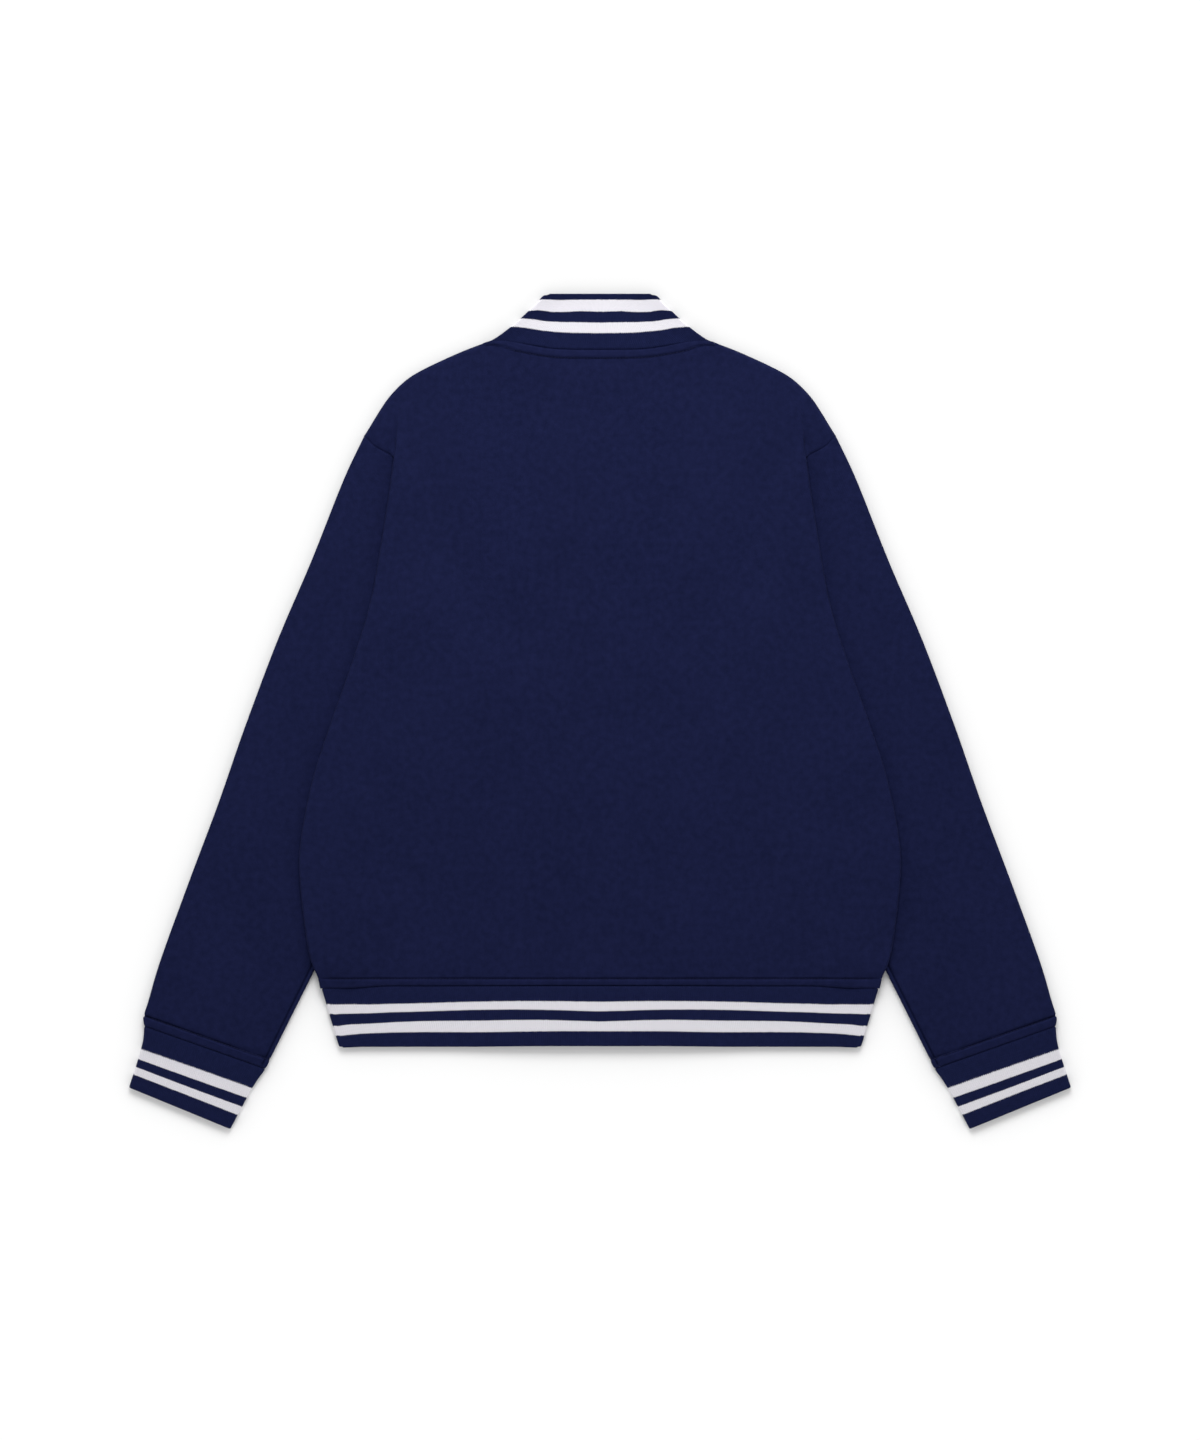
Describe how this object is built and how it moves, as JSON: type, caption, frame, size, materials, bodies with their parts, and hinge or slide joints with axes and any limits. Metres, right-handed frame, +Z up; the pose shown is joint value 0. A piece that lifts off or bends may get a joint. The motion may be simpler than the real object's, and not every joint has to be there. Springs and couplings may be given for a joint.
{
  "type": "varsity jacket laid flat",
  "caption": "Sweat-fleece varsity jacket laid flat with its back up: stand-up collar, hem band and cuffs in striped rib, sleeves folded in under the body, snap front.",
  "frame": {"origin": "on the surface that the jacket lies on, under the middle of its bounding box", "axes": "+X to the wearer's right with the back up, +Y towards the collar, +Z up out of the back"},
  "size_m": [0.913, 0.8097, 0.0134],
  "materials": {
    "fleece": "matt sweat fleece, navy",
    "rib": "rib knit, navy with white stripes",
    "snap_metal": "satin, navy"
  },
  "bodies": {
    "root": {"back": "fleece", "front_left": "fleece", "front_right": "fleece", "sleeve_left": "fleece", "sleeve_right": "fleece", "collar": "rib", "hem_band": "rib", "cuff_left": "rib", "cuff_right": "rib", "snap_1": "snap_metal", "snap_2": "snap_metal", "snap_3": "snap_metal", "snap_4": "snap_metal", "snap_5": "snap_metal", "snap_6": "snap_metal"}
  },
  "joints": []
}
